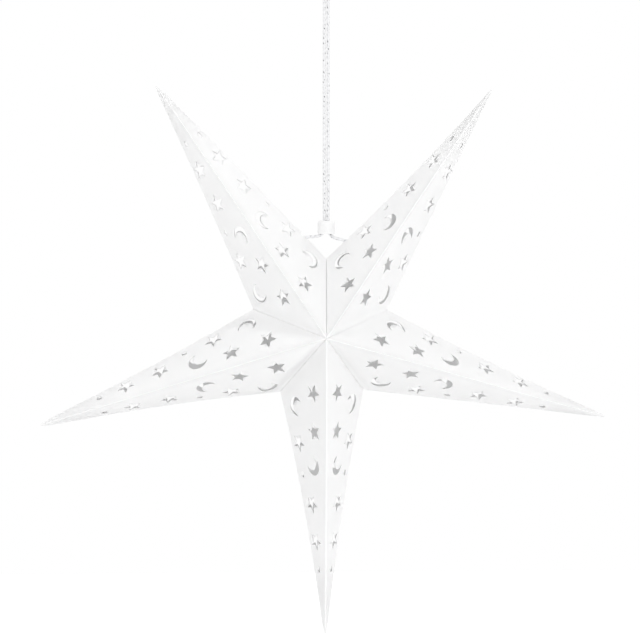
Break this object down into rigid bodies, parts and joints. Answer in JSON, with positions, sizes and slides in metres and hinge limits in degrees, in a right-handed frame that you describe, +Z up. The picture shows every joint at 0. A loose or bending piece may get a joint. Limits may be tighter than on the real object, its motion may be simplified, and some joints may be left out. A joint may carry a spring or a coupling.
{
  "type": "folded paper star",
  "caption": "Hanging star of folded white card, its faces pierced with stars and moons, drawn shut and hung by a looped cord through a sliding stopper.",
  "frame": {"origin": "top of the hanging loop, on the cord's centre line, where a hook holds it", "axes": "+X to the right and -Y towards the viewer, who sees the front of the star; +Z up. The star's middle plane is y = 0."},
  "size_m": [0.4507, 0.12, 0.5333],
  "materials": {
    "card": "smooth matt white card",
    "cord": "twisted white cord with silver thread",
    "stopper": "moulded white plastic"
  },
  "bodies": {
    "star": {"point_upper_right": "card", "point_right": "card", "point_bottom": "card", "point_left": "card", "point_upper_left": "card", "hanging_cord": "cord", "end_knot_left": "cord", "end_knot_right": "cord"},
    "stopper": {"cord_stopper": "stopper"}
  },
  "joints": [
    {"name": "stopper_slide", "type": "slide", "parent": "star", "child": "stopper", "axis": [0, 0, 1], "range_m": [0, 0.16]}
  ]
}
